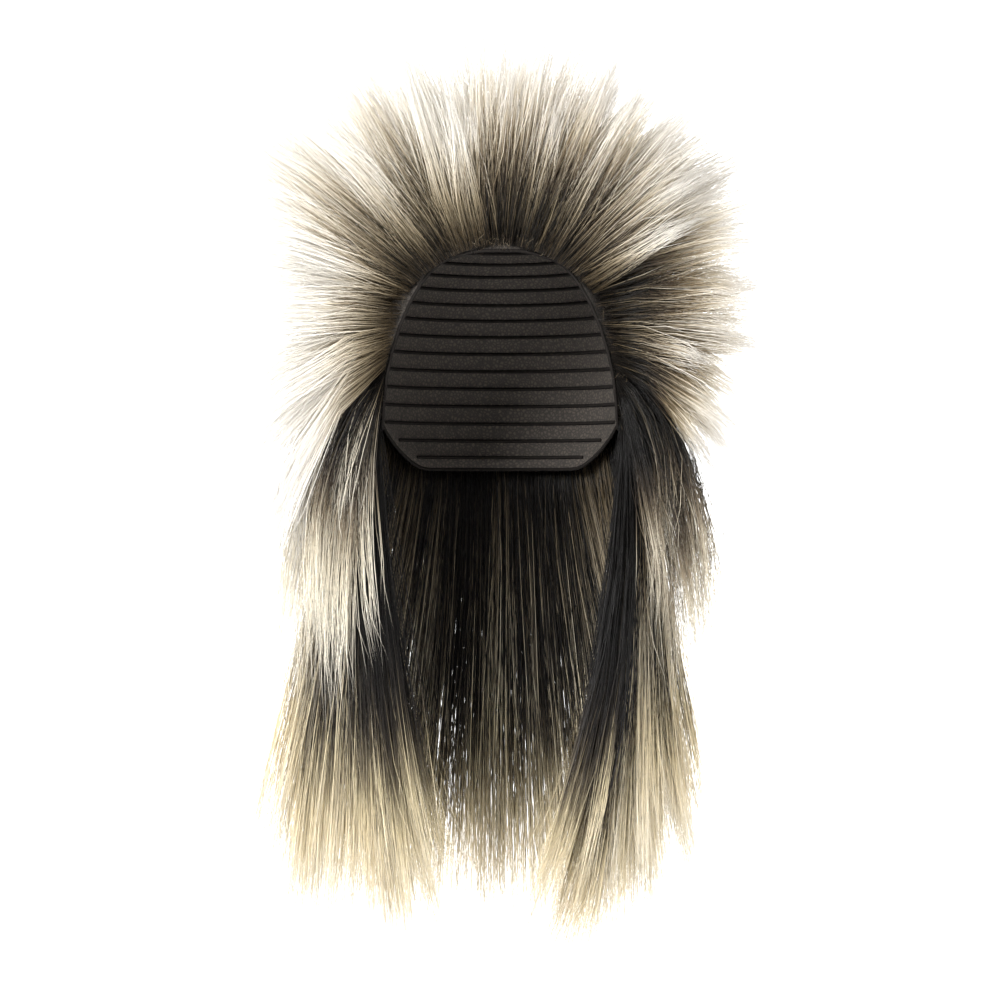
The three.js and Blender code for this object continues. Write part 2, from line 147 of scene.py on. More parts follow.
LIGHTS = [
    {"name": "key", "place": (-1.3, -1.9, 0.9), "aim": (0, 0, -0.12), "size": 1.0, "watts": 104},
    {"name": "fill", "place": (1.7, -1.6, 0.2), "aim": (0, 0, -0.12), "size": 1.6, "watts": 24},
    {"name": "back", "place": (0.2, 1.0, 1.5), "aim": (0, 0, -0.12), "size": 1.2, "watts": 26},
    {"name": "wall", "place": (0, 2.2, 1.6), "aim": (0, 4.6, -0.3), "size": 2.4, "watts": 110},
]
for row in LIGHTS:
    lamp_data = bpy.data.lights.new(row["name"], "AREA")
    lamp_data.size = row["size"]
    lamp_data.energy = row["watts"]
    lamp = bpy.data.objects.new(row["name"], lamp_data)
    lamp.location = row["place"]
    aim = np.array(row["aim"]) - np.array(row["place"])
    lamp.rotation_euler = (
        math.atan2(math.hypot(aim[0], aim[1]), -aim[2]), 0, math.atan2(-aim[0], aim[1]))
    scene.collection.objects.link(lamp)

# Cap: a stretch net foundation in the form of the head, cut to the hairline, ear tabs and nape.
# It is sewn from dark elastic net, with a bound edge and rows of wefts that carry the hair.
HEAD = np.array((0.077, 0.097, 0.105))  # half width, half length, crown to the widest level
CAP_WALL = 0.0015
RIM = [  # side view: place behind the ear line, drop below the crown
    {"place": -0.200, "drop": 0.021},
    {"place": -0.057, "drop": 0.022},
    {"place": -0.047, "drop": 0.030},
    {"place": -0.050, "drop": 0.079},
    {"place": -0.034, "drop": 0.130},
    {"place": -0.020, "drop": 0.130},
    {"place": -0.012, "drop": 0.117},
    {"place": 0.016, "drop": 0.117},
    {"place": 0.060, "drop": 0.152},
    {"place": 0.200, "drop": 0.152},
]
ABOVE_HEAD = [(0.2, 0.2), (-0.2, 0.2)]  # these corners close the rim's outline over the crown
RIM_SEARCH = np.arange(0.3, 2.3, 0.004)  # angles down from the crown
RIM_ROUNDINGS = 3
CAP_TURNS = 120
CAP_RINGS = 30
NET_LIFT = 0.0003  # the net's inner face stands this far off the head
NET_SHARE = 0.7  # of the cap's wall, the rest is sewing
MERGE_DISTANCE = 0.00002


def meridian(turn, polar, lift):
    """Spots on the head's form, by turn from the face and angle down from the crown."""
    size = HEAD + lift
    return np.stack([
        size[0] * np.sin(polar) * np.sin(turn),
        -size[1] * np.sin(polar) * np.cos(turn),
        size[2] * np.cos(polar) - HEAD[2],
    ], axis=-1)


def above_rim(spot):
    """Whether a spot on the head lies on the cap's side of the rim."""
    inside = False
    line = [(row["place"], -row["drop"]) for row in RIM] + ABOVE_HEAD
    for (y0, z0), (y1, z1) in zip(line, line[1:] + line[:1]):
        if (z0 > spot[2]) != (z1 > spot[2]):
            if spot[1] < (y1 - y0) * (spot[2] - z0) / (z1 - z0) + y0:
                inside = not inside
    return inside


def rim_angle(turn):
    """How far down from the crown the cap reaches at one turn."""
    spots = meridian(np.full_like(RIM_SEARCH, turn), RIM_SEARCH, 0.0)
    return next(p for p, spot in zip(RIM_SEARCH, spots) if not above_rim(spot))


turns = np.linspace(0, 2 * math.pi, CAP_TURNS, endpoint=False)
rim_polar = np.array([rim_angle(t) for t in turns])
for _ in range(RIM_ROUNDINGS):  # sewn edges round every corner off
    rim_polar = (np.roll(rim_polar, 1) + 2 * rim_polar + np.roll(rim_polar, -1)) / 4

bpy.ops.mesh.primitive_grid_add(x_subdivisions=CAP_TURNS, y_subdivisions=CAP_RINGS, size=1)
cap = bpy.context.object
cap.name = "cap_net"
flat = np.array([v.co for v in cap.data.vertices])
turn_share = flat[:, 0] + 0.5
down_share = flat[:, 1] + 0.5
edge = np.interp(
    turn_share * CAP_TURNS, np.arange(CAP_TURNS + 1), np.append(rim_polar, rim_polar[0]))
spots = meridian(turn_share * 2 * math.pi, down_share * edge, NET_LIFT)
for vertex, spot in zip(cap.data.vertices, spots):
    vertex.co = spot
bpy.ops.object.mode_set(mode="EDIT")
bpy.ops.mesh.select_all(action="SELECT")
bpy.ops.mesh.remove_doubles(threshold=MERGE_DISTANCE)
bpy.ops.mesh.normals_make_consistent(inside=False)
bpy.ops.object.mode_set(mode="OBJECT")
wall = cap.modifiers.new("wall", "SOLIDIFY")
wall.thickness = CAP_WALL * NET_SHARE
wall.offset = 1.0
bpy.ops.object.modifier_apply(modifier="wall")
cap.data.shade_smooth()

# Nylon stretch net, knitted and dyed near black: soft, matt, with a grid of small openings
NET_PITCH = 0.0022
net, tree, output = new_material("dyed_nylon_net")
place = add_node(tree, "ShaderNodeTexCoord")
knit = add_node(tree, "ShaderNodeTexVoronoi", {"feature": "DISTANCE_TO_EDGE"}, {
    "Vector": place.outputs["Object"], "Scale": 1 / NET_PITCH, "Randomness": 1.0})
thread = add_node(tree, "ShaderNodeMapRange", links={
    "Value": knit.outputs["Distance"], "From Min": 0.05, "From Max": 0.3})
shade = add_node(tree, "ShaderNodeMix", {"data_type": "RGBA"}, {
    "Factor": thread.outputs["Result"], 6: linear("#2a2622"), 7: linear("#453e37")})
relief = add_node(tree, "ShaderNodeBump", links={
    "Strength": 0.5, "Distance": 0.0003, "Height": thread.outputs["Result"]})
surface = add_node(tree, "ShaderNodeBsdfPrincipled", links={
    "Base Color": shade.outputs[2], "Roughness": 0.85, "Normal": relief.outputs["Normal"]})
tree.links.new(surface.outputs[0], output.inputs["Surface"])
cap.data.materials.append(net)
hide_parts("cap")
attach(cap, "root")

# Wefts and edge: machine-sewn weft bands in rings inside the net, and the bound elastic edge
WEFT_SPACING = 0.0105
WEFT_RADIUS = 0.0011
EDGE_RADIUS = 0.0011
WEFT_LIFT = -0.0004
FIRST_WEFT = 0.12  # angle down from the crown
WEFT_MARGIN = 0.03  # angle that a weft keeps from the rim
SHORTEST_WEFT = 5  # spots


def sewn_line(name, runs, radius):
    """A thin round band along one or more runs of spots, as a closed mesh."""
    curve = bpy.data.curves.new(name, "CURVE")
    curve.dimensions = "3D"
    curve.bevel_depth = radius
    curve.bevel_resolution = 0
    curve.use_fill_caps = True
    for run, closed in runs:
        spline = curve.splines.new("POLY")
        spline.points.add(len(run) - 1)
        spline.points.foreach_set("co", np.hstack([run, np.ones((len(run), 1))]).ravel())
        spline.use_cyclic_u = closed
    band = bpy.data.objects.new(name, curve)
    scene.collection.objects.link(band)
    bpy.ops.object.select_all(action="DESELECT")
    band.select_set(True)
    bpy.context.view_layer.objects.active = band
    bpy.ops.object.convert(target="MESH")
    return bpy.context.object


weft_runs = []
weft_turns, weft_rim = turns[::2], rim_polar[::2]
for polar in np.arange(FIRST_WEFT, rim_polar.max(), WEFT_SPACING / HEAD[1]):
    covered = weft_rim > polar + WEFT_MARGIN
    spots = meridian(weft_turns, np.full_like(weft_turns, polar), WEFT_LIFT)
    if covered.all():
        weft_runs.append((spots, True))
        continue
    start = int(np.argmin(covered))
    order = np.roll(np.arange(len(weft_turns)), -start)
    run = []
    for i in [*order, None]:
        if i is not None and covered[i]:
            run.append(spots[i])
            continue
        if len(run) >= SHORTEST_WEFT:
            weft_runs.append((np.array(run), False))
        run = []
wefts = sewn_line("weft_rows", weft_runs, WEFT_RADIUS)
edge_spots = meridian(turns, rim_polar, CAP_WALL / 2)
binding = sewn_line("bound_edge", [(edge_spots, True)], EDGE_RADIUS)

# Polyester stitching tape, dyed dark brown: matt, with close stitches across it
STITCH_PITCH = 0.0022
tape, tree, output = new_material("stitched_polyester_tape")
place = add_node(tree, "ShaderNodeTexCoord")
stitch = add_node(tree, "ShaderNodeTexNoise", links={
    "Vector": place.outputs["Object"], "Scale": 1 / STITCH_PITCH, "Detail": 2.0})
shade = add_node(tree, "ShaderNodeMix", {"data_type": "RGBA"}, {
    "Factor": stitch.outputs["Fac"], 6: linear("#0b0a09"), 7: linear("#211d1a")})
relief = add_node(tree, "ShaderNodeBump", links={
    "Strength": 0.7, "Distance": 0.0005, "Height": stitch.outputs["Fac"]})
surface = add_node(tree, "ShaderNodeBsdfPrincipled", links={
    "Base Color": shade.outputs[2], "Roughness": 0.95, "Specular IOR Level": 0.15,
    "Normal": relief.outputs["Normal"]})
tree.links.new(surface.outputs[0], output.inputs["Surface"])
for piece in (wefts, binding):
    piece.data.materials.append(tape)
    piece.data.shade_smooth()
    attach(piece, "root")


# Front of the crown: teased locks that fan up and out from the hairline, held stiff by spray.
# Each lock is some ninety fibres that leave the cap as a dense comb and draw together at the tip.
# The hair is dyed: near-black roots, grey-brown in the middle and platinum at the tips.
ROOT_LIFT = 0.0033
BEND = 0.35  # how far along a lock its bend is held, from either end
DROOP = 0.25  # how much a lock's end turns down
FAN_MIDDLE = np.array((0.004, -0.025, -0.048))
FAN_REACH = 0.158
FAN_FLARE = 1.12  # share of the reach that the fibres of a middling lock have
LEAN_SPREAD = 3  # degrees that longer locks lean further
FAN_OUTLINE = [  # seen from the front: degrees from upright, share of the reach
    (-90, 1.12), (-59, 1.17), (-44, 1.09), (-28, 1.02), (-15, 0.95), (-2, 1.02),
    (6, 0.95), (11, 1.01), (35, 0.99), (50, 1.03), (66, 1.04), (90, 1.0),
]
TONES = 96  # columns of the colour map, from the darkest fibre to the lightest
DARK_STREAK = 0.3  # share of the map, from the dark side, that has none of the highlights' dye
FIBRE_RADIUS = 0.00016
FIBRE_SIDES = 3
FIBRE_ROOM = np.array((0.015, 0.015, 0.022))  # how far fibres may reach past the solid locks
LOCK_STEPS = (0.7548777, 0.5698403)  # these spread the locks evenly along and across the rows
LOCK_SWAY = (1.4, 3.2)  # shares of the stray, at a lock's third and last control points
LOCK_PULL = np.array((0.0, 0.25, 0.72, 0.94))  # how far control points are drawn to the lock
WILD_SHARE = 0.2  # of the fibres stray more than the rest
WILD_FACTOR = 2.8
STRAY_SHARES = (0.7, 1.2, 0.8)  # of the stray, at a fibre's second, third and last control points


def unit(vectors):
    """Vectors of length 1 that point the same way."""
    return vectors / np.linalg.norm(vectors, axis=-1, keepdims=True)


def over_direction(aside, behind):
    """Directions of roots on rows from ear to ear over the crown, by two angles in degrees."""
    a, b = np.radians(aside), np.radians(behind)
    return np.stack([np.sin(a), np.cos(a) * np.sin(b), np.cos(a) * np.cos(b)], axis=-1)


def read_table(table, column, place):
    """A column of a table at places that run from 0 at its first row to 1 at its last."""
    values = [row[column] for row in table]
    return np.interp(place, np.linspace(0, 1, len(values)), values)


def standing(direction, tip):
    """Four control points for each lock that stands out from the head."""
    root = direction * (HEAD + ROOT_LIFT) - (0, 0, HEAD[2])
    reach = tip - root
    length = np.linalg.norm(reach, axis=-1, keepdims=True)
    reach = reach / length
    start = unit(reach + unit(direction / HEAD))
    end = unit(reach - (0, 0, DROOP))
    return np.stack([root, root + start * length * BEND, tip - end * length * BEND, tip], axis=1)


def comb(guide, seed, locks, fibres, patch, stray, cut, steps, loose=0.6, seam=(0, 1)):
    """Paths of fibres in locks: each starts on its own root and is drawn to its lock's tip.

    The guide gives control points for places along and across the rows, and for how long each
    lock is. A smaller number for loose draws the locks together less. The seam says how far
    fibres may stray along the rows, over the neighbours' roots.
    Returns the fibres' spots, their shares along the lock, the place of each one's lock along
    and across the rows, and a chance tone that the fibres of a lock have in common.
    """
    rng = np.random.default_rng(seed)
    count = np.arange(locks)
    along, across = ((0.5 + count * step) % 1 for step in LOCK_STEPS)
    size = rng.normal(0, 1, locks).clip(-1.6, 1.6)
    centre = guide(along, across, size)
    sway = rng.normal(0, 1, (locks, 3)).clip(-1.6, 1.6) * stray
    centre[:, 2] += sway * LOCK_SWAY[0]
    centre[:, 3] += sway * LOCK_SWAY[1]
    firm = rng.uniform(loose, loose + 0.5, locks)
    lock = np.repeat(count, fibres)
    offset = rng.normal(0, 0.5, (locks * fibres, 2)).clip(-1.3, 1.3)
    own = guide(
        (along[lock] + offset[:, 0] * patch[0]).clip(*seam),
        (across[lock] + offset[:, 1] * patch[1]).clip(0, 1),
        size[lock])
    wild = np.where(rng.random(len(lock)) < WILD_SHARE, WILD_FACTOR, 1.0)
    pull = (LOCK_PULL.reshape(1, 4, 1) * firm[lock, None, None]).clip(0, 1)
    points = own * (1 - pull) + centre[lock] * pull
    jitter = rng.normal(0, 1, (len(lock), 3, 3)).clip(-1.8, 1.8) * stray * wild[:, None, None]
    for number, stray_share in enumerate(STRAY_SHARES):
        points[:, number + 1] += jitter[:, number] * stray_share
    spread = np.hypot(offset[:, 0], offset[:, 1])
    end = 1 - cut * (spread * 0.8 + 0.2) * rng.random(len(lock))
    share = end[:, None] * np.array(steps)
    t = share[:, :, None]
    spots = (
        points[:, None, 0] * (1 - t) ** 3 + points[:, None, 1] * 3 * t * (1 - t) ** 2
        + points[:, None, 2] * 3 * t ** 2 * (1 - t) + points[:, None, 3] * t ** 3)
    for edge, way in ((cad_box[0], -1), (cad_box[1], 1)):  # the longest fibres bend back a little
        past = np.maximum((spots - np.array(edge)) * way - FIBRE_ROOM / 2, 0)
        spots += way * (np.tanh(past / FIBRE_ROOM * 2) * FIBRE_ROOM / 2 - past)
    return spots, share, (along[lock], across[lock]), rng.normal(0, 1, locks)[lock], rng


def fibre_mesh(name, spots, share, tone, rng, coarse=1.0):
    """One mesh of closed, tapered, three-sided fibres, with a map that runs root to tip."""
    fibres, rings = spots.shape[0], spots.shape[1] - 1
    tangent = unit(np.gradient(spots, axis=1))
    aside = unit(rng.normal(0, 1, (fibres, 1, 3)))
    first = unit(aside - (aside * tangent).sum(-1, keepdims=True) * tangent)
    second = np.cross(tangent, first)
    steps = np.linspace(0, 1, rings + 1) * np.ones((fibres, 1))
    radius = FIBRE_RADIUS * coarse * (1 - 0.4 * steps ** 4) * rng.uniform(0.7, 1.25, (fibres, 1))
    turn = np.arange(FIBRE_SIDES) * 2 * np.pi / FIBRE_SIDES
    ring = (
        np.cos(turn)[None, None, :, None] * first[:, :rings, None]
        + np.sin(turn)[None, None, :, None] * second[:, :rings, None])
    body = spots[:, :rings, None] + ring * radius[:, :rings, None, None]
    vertices = np.concatenate([body.reshape(fibres, -1, 3), spots[:, -1:]], axis=1)

    each = rings * FIBRE_SIDES + 1
    side = np.arange(FIBRE_SIDES)
    level = np.arange(rings - 1)[:, None] * FIBRE_SIDES
    after = (side + 1) % FIBRE_SIDES
    quads = np.stack([level + side, level + after, level + FIBRE_SIDES + after,
                      level + FIBRE_SIDES + side], axis=-1).reshape(-1)
    last = (rings - 1) * FIBRE_SIDES
    tips = np.stack([last + side, last + after, np.full(FIBRE_SIDES, each - 1)], axis=-1).reshape(-1)
    corners = np.concatenate([quads, tips, [2, 1, 0]])
    starts = np.concatenate([np.arange(0, len(quads), 4), np.arange(len(quads), len(corners), 3)])

    column = (tone.clip(0, 0.999) * TONES).astype(int)
    left = (column[:, None] + 0.15 + 0.7 * side / FIBRE_SIDES) / TONES
    right = left + 0.7 / FIBRE_SIDES / TONES
    low, high = share[:, :rings - 1], share[:, 1:rings]
    uv = np.empty((fibres, rings - 1, FIBRE_SIDES, 4, 2))
    uv[..., 0, 0] = uv[..., 3, 0] = left[:, None]
    uv[..., 1, 0] = uv[..., 2, 0] = right[:, None]
    uv[..., 0, 1] = uv[..., 1, 1] = low[:, :, None]
    uv[..., 2, 1] = uv[..., 3, 1] = high[:, :, None]
    tip_uv = np.empty((fibres, FIBRE_SIDES, 3, 2))
    tip_uv[..., 0, 0], tip_uv[..., 1, 0], tip_uv[..., 2, 0] = left, right, (left + right) / 2
    tip_uv[..., 0, 1] = tip_uv[..., 1, 1] = share[:, rings - 1, None]
    tip_uv[..., 2, 1] = share[:, -1, None]
    root_uv = np.empty((fibres, 1, 3, 2))
    root_uv[:, 0, :, 0] = (column[:, None] + np.array((0.2, 0.8, 0.5))) / TONES
    root_uv[:, 0, :, 1] = (0.0, 0.0, 0.02)
    uv = np.concatenate([part.reshape(fibres, -1) for part in (uv, tip_uv, root_uv)], axis=1)

    many = np.arange(fibres)[:, None]
    mesh = bpy.data.meshes.new(name)
    mesh.vertices.add(fibres * each)
    mesh.vertices.foreach_set("co", vertices.ravel())
    mesh.loops.add(fibres * len(corners))
    mesh.loops.foreach_set("vertex_index", (many * each + corners).ravel().astype(np.int32))
    mesh.polygons.add(fibres * len(starts))
    mesh.polygons.foreach_set("loop_start", (many * len(corners) + starts).ravel().astype(np.int32))
    mesh.uv_layers.new(name="OFBake").data.foreach_set("uv", uv.ravel())
    mesh.update(calc_edges=True)
    mesh.shade_smooth()
    hair = bpy.data.objects.new(name, mesh)
    scene.collection.objects.link(hair)
    return hair


def dyed_fibre(name, dark, light, warmth):
    """Heat-set synthetic fibre, dyed root to tip: a soft gloss, and no two fibres quite alike.

    Along the colour map a fibre goes from root to tip, across it from dark ones to highlights.
    """
    material, tree, output = new_material(name)
    place = add_node(tree, "ShaderNodeUVMap", {"uv_map": "OFBake"})
    split = add_node(tree, "ShaderNodeSeparateXYZ", links={0: place.outputs[0]})
    column = add_node(tree, "ShaderNodeMath", {"operation": "MULTIPLY"}, {
        0: split.outputs["X"], 1: float(TONES)})
    column = add_node(tree, "ShaderNodeMath", {"operation": "FLOOR"}, {0: column.outputs[0]})
    chance = add_node(tree, "ShaderNodeTexWhiteNoise", {"noise_dimensions": "1D"}, {
        "W": column.outputs[0]})
    chances = add_node(tree, "ShaderNodeSeparateXYZ", links={0: chance.outputs["Color"]})
    tone = add_node(tree, "ShaderNodeMath", {"operation": "MULTIPLY_ADD"}, {
        0: split.outputs["X"], 1: 0.2, 2: -0.16})
    tone = add_node(tree, "ShaderNodeMath", {"operation": "MULTIPLY_ADD"}, {
        0: chances.outputs["X"], 1: 0.12, 2: tone.outputs[0]})
    tone = add_node(tree, "ShaderNodeMath", {"operation": "ADD"}, {
        0: tone.outputs[0], 1: split.outputs["Y"]})
    dyes = []
    for colours in (dark, light):
        dyes.append(add_node(tree, "ShaderNodeValToRGB", links={0: tone.outputs[0]}))
        stops = dyes[-1].color_ramp.elements
        while len(stops) < len(colours):
            stops.new(1.0)
        for stop, (position, colour) in zip(stops, colours):
            stop.position = position
            stop.color = linear(colour)
    streak = add_node(tree, "ShaderNodeMapRange", {"interpolation_type": "SMOOTHSTEP"}, {
        "Value": split.outputs["X"], "From Min": DARK_STREAK, "From Max": 1.0})
    dye = add_node(tree, "ShaderNodeMix", {"data_type": "RGBA"}, {
        "Factor": streak.outputs["Result"], 6: dyes[0].outputs[0], 7: dyes[1].outputs[0]})
    warm = add_node(tree, "ShaderNodeMath", {"operation": "MULTIPLY"}, {
        0: chances.outputs["Y"], 1: warmth})
    tint = add_node(tree, "ShaderNodeMix", {"data_type": "RGBA", "blend_type": "MULTIPLY"}, {
        "Factor": warm.outputs[0], 6: dye.outputs[2], 7: linear("#f4dca6")})
    depth = add_node(tree, "ShaderNodeMath", {"operation": "MULTIPLY_ADD"}, {
        0: chances.outputs["Z"], 1: 0.3, 2: 0.82})
    shade = add_node(tree, "ShaderNodeVectorMath", {"operation": "SCALE"}, {
        0: tint.outputs[2], "Scale": depth.outputs[0]})
    surface = add_node(tree, "ShaderNodeBsdfPrincipled", links={
        "Base Color": shade.outputs[0], "Roughness": 0.4, "Specular IOR Level": 0.25})
    tree.links.new(surface.outputs[0], output.inputs["Surface"])
    return material


def fit(piece, node, material):
    """Gives the hair of one CAD node its material, and puts it in the node's place."""
    piece.data.materials.append(material)
    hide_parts(node)
    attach(piece, "root")


CROWN_FRONT_ROWS = [
    {"root": -36, "lean": -17, "reach": 0.96, "span": 74},
    {"root": -24, "lean": -8, "reach": 0.99, "span": 68},
    {"root": -12, "lean": 1, "reach": 1.0, "span": 63},
    {"root": 5, "lean": 16, "reach": 0.99, "span": 57},
]
CROWN_ROOT_SHARE = 0.61
SHORT_STEPS = (0, 0.26, 0.64, 1)


def crown_guide(rows, corner, unevenness):
    """Control points for the crown's locks, from ear to ear and from front to back."""
    def guide(along, across, size):
        aside = 2 * along - 1
        span = read_table(rows, "span", across) * aside
        root = read_table(rows, "root", across) - corner * abs(aside) * (1 - across)
        direction = over_direction(span * CROWN_ROOT_SHARE, root)
        outline = np.interp(span, [row[0] for row in FAN_OUTLINE], [row[1] for row in FAN_OUTLINE])
        reach = FAN_REACH * read_table(rows, "reach", across) * outline
        reach = reach * (FAN_FLARE + unevenness * size)
        lean = read_table(rows, "lean", across) + LEAN_SPREAD * size
        return standing(direction, FAN_MIDDLE + over_direction(span, lean) * reach[:, None])
    return guide


spots, share, place, common, rng = comb(
    crown_guide(CROWN_FRONT_ROWS, 4, 0.12), seed=11, locks=112, fibres=92,
    patch=(0.085, 0.22), stray=0.0037, cut=0.42, steps=SHORT_STEPS, loose=0.68)
# The tone falls from the fan's left to its right: painted light on the lit left and painted shade on the
# shaded right, with chance tones per lock and per fibre on top.
tone = 0.78 - 0.2 * place[0] + 0.22 * common + rng.normal(0, 0.2, len(common))
spiked_fibre = dyed_fibre("teased_synthetic_hair", dark=[
    (0.17, "#14110d"), (0.31, "#3d3226"), (0.42, "#837359"), (0.52, "#c4b8a1"),
    (0.64, "#eae4da"), (1.0, "#f7f4ee")], light=[
    (0.04, "#1e1813"), (0.18, "#635641"), (0.32, "#a09278"), (0.45, "#d6ccb9"),
    (0.60, "#ede8de"), (1.0, "#f8f5ef")], warmth=0.05)
hair = fibre_mesh("crown_front_hair", spots, share, tone, rng)
fit(hair, "crown_front_spikes", spiked_fibre)

# Short broken fibres that curl loose along the hairline
FRIZZ = 420
FRIZZ_LENGTH = 0.013
FRIZZ_TURN = 1.45  # how far round from the face, to either side
FRIZZ_DEPTH = 0.07  # angle up from the rim
FRIZZ_DYED = 0.4  # share of a long fibre's dye, counted from the root
rng = np.random.default_rng(31)
frizz_turn = rng.uniform(-FRIZZ_TURN, FRIZZ_TURN, FRIZZ)
frizz_polar = np.interp(frizz_turn % (2 * math.pi), turns, rim_polar)
frizz_polar = frizz_polar - rng.uniform(0, FRIZZ_DEPTH, FRIZZ)
root = meridian(frizz_turn, frizz_polar, CAP_WALL / 2)
out = unit(root - (0, 0, -HEAD[2]))
reach = unit(out + rng.normal(0, 0.55, (FRIZZ, 3)) + (0, -0.3, 0.3))
curl = unit(rng.normal(0, 1, (FRIZZ, 3))) * FRIZZ_LENGTH * 0.25
length = FRIZZ_LENGTH * rng.uniform(0.4, 1.3, (FRIZZ, 1, 1))
share = np.tile(SHORT_STEPS, (FRIZZ, 1))
t = share[:, :, None]
spots = root[:, None] + reach[:, None] * length * t + curl[:, None] * np.sin(t * math.pi) * 1.2
tone = rng.uniform(0, 0.7, FRIZZ)
hair = fibre_mesh("hairline_frizz", spots, share * FRIZZ_DYED, tone, rng, coarse=0.7)
fit(hair, "crown_front_spikes", spiked_fibre)

# Back of the crown: the same teased locks, leaning back further row by row
CROWN_BACK_ROWS = [
    {"root": 8, "lean": 20, "reach": 0.99, "span": 64},
    {"root": 24, "lean": 36, "reach": 0.99, "span": 64},
    {"root": 42, "lean": 58, "reach": 1.06, "span": 60},
    {"root": 62, "lean": 82, "reach": 1.08, "span": 56},
]
spots, share, place, common, rng = comb(
    crown_guide(CROWN_BACK_ROWS, 0, 0.1), seed=12, locks=80, fibres=66,
    patch=(0.09, 0.2), stray=0.0035, cut=0.36, steps=SHORT_STEPS, loose=0.68)
# Here too the tone falls from left to right: painted light on the lit left, painted shade on the shaded
# right.
tone = 0.62 - 0.22 * place[0] + 0.28 * common + rng.normal(0, 0.18, len(common))
hair = fibre_mesh("crown_back_hair", spots, share, tone, rng)
fit(hair, "crown_back_spikes", spiked_fibre)

# Sides: teased locks that stand out level from the temples and turn down over the ears
SPIKE_STANDOUT = 0.080
SPIKE_FLARE = (1.24, 0.11)  # share of the standout, and how far it differs from lock to lock
SIDE_SPIKE_ROWS = [
    {"drop": 0.27, "front": -30, "tip_front": -16, "standout": 0.98, "height": 0.18},
    {"drop": 0.38, "front": -36, "tip_front": -17, "standout": 1.02, "height": -0.04},
    {"drop": 0.56, "front": -35, "tip_front": -19, "standout": 1.05, "height": -0.37},
    {"drop": 0.70, "front": -33, "tip_front": -20, "standout": 0.96, "height": -0.72},
    {"drop": 0.81, "front": -31, "tip_front": -22, "standout": 0.78, "height": -1.1},
    {"drop": 0.88, "front": -29, "tip_front": -26, "standout": 0.66, "height": -1.5},
]
SIDE_END = 54  # degrees behind the ear line where the sides meet the back


def round_direction(side, turn, drop):
    """Directions of roots on level rows round the head, by degrees and shares of its rise."""
    level = np.sqrt(1 - (1 - drop) ** 2)
    a = np.radians(turn)
    return np.stack([side * level * np.cos(a), level * np.sin(a), 1 - drop], axis=-1)


def round_tip(side, turn, beyond, height):
    """Tips at one distance beyond the head's widest level."""
    a = np.radians(turn)
    return np.stack([
        side * (HEAD[0] + beyond) * np.cos(a), (HEAD[1] + beyond) * np.sin(a), height], axis=-1)


def side_spike_guide(side, fall):
    """Control points for a side's locks; fall is how far the lowest ones hang."""
    def guide(along, across, size):
        rows = SIDE_SPIKE_ROWS
        front, tip_front = read_table(rows, "front", across), read_table(rows, "tip_front", across)
        beyond = SPIKE_STANDOUT * read_table(rows, "standout", across)
        beyond = beyond * (SPIKE_FLARE[0] + SPIKE_FLARE[1] * size)
        height = read_table(rows, "height", across) * FAN_REACH
        height *= 1 - (1 - fall) * across - 0.3 * across * along.clip(0, 1) ** 3
        direction = round_direction(
            side, front + (SIDE_END - front) * along, read_table(rows, "drop", across))
        tip = round_tip(side, tip_front + (SIDE_END - tip_front) * along, beyond, height)
        return standing(direction, tip)
    return guide


# The left side gets the lighter tone and the dye that reaches further, the right side a darker tone that
# darkens more on its lower rows: partly the dye's own streaks, partly painted light on the lit left and
# painted shade on the shaded right.
SIDES = [
    {"name": "left", "side": -1, "fall": 1.12, "tone": 0.98, "low_tone": 0.15, "dyed": 1.38,
     "seed": 13},
    {"name": "right", "side": 1, "fall": 0.74, "tone": 0.5, "low_tone": -0.4, "dyed": 1.0,
     "seed": 14},
]
for row in SIDES:
    spots, share, place, common, rng = comb(
        side_spike_guide(row["side"], row["fall"]), seed=row["seed"], locks=80, fibres=66,
        patch=(0.1, 0.16), stray=0.0031, cut=0.24, steps=SHORT_STEPS, loose=0.66, seam=(0, 1.1))
    tone = row["tone"] + row["low_tone"] * place[1] ** 2
    tone = tone + 0.28 * common + rng.normal(0, 0.18, len(common))
    dyed = (share * row["dyed"]).clip(0, 1)
    hair = fibre_mesh(row["name"] + "_side_hair", spots, dyed, tone, rng)
    fit(hair, row["name"] + "_side_spikes", spiked_fibre)

# Back of the head: teased locks that stand out and turn down over the mid layer
BACK_SPIKE_ROWS = [
    {"drop": 0.46, "standout": 0.86, "height": -0.22},
    {"drop": 0.66, "standout": 0.88, "height": -0.6},
    {"drop": 0.82, "standout": 0.84, "height": -1.0},
]
BACK_START = 58
BACK_END = 122


def back_spike_guide(along, across, size):
    """Control points for the locks between the sides, round the back of the head."""
    turn = BACK_START + (BACK_END - BACK_START) * along
    beyond = SPIKE_STANDOUT * read_table(BACK_SPIKE_ROWS, "standout", across)
    beyond = beyond * (SPIKE_FLARE[0] + SPIKE_FLARE[1] * size)
    height = read_table(BACK_SPIKE_ROWS, "height", across) * FAN_REACH
    direction = round_direction(1, turn, read_table(BACK_SPIKE_ROWS, "drop", across))
    return standing(direction, round_tip(1, turn, beyond, height))


spots, share, place, common, rng = comb(
    back_spike_guide, seed=15, locks=50, fibres=58,
    patch=(0.11, 0.25), stray=0.0031, cut=0.22, steps=SHORT_STEPS, seam=(-0.12, 1.12))
tone = 0.5 + 0.27 * common + rng.normal(0, 0.18, len(common))
hair = fibre_mesh("back_head_hair", spots, share, tone, rng)
fit(hair, "back_spikes", spiked_fibre)

# Mid layer: locks that spring out below the spikes and hang to the jaw, blonde for half their length
LAYER_STANDOUT = 0.050
LAYER_LENGTH = 0.262
SPRING = 0.9
LONG_STEPS = (0, 0.15, 0.35, 0.58, 0.82, 1)


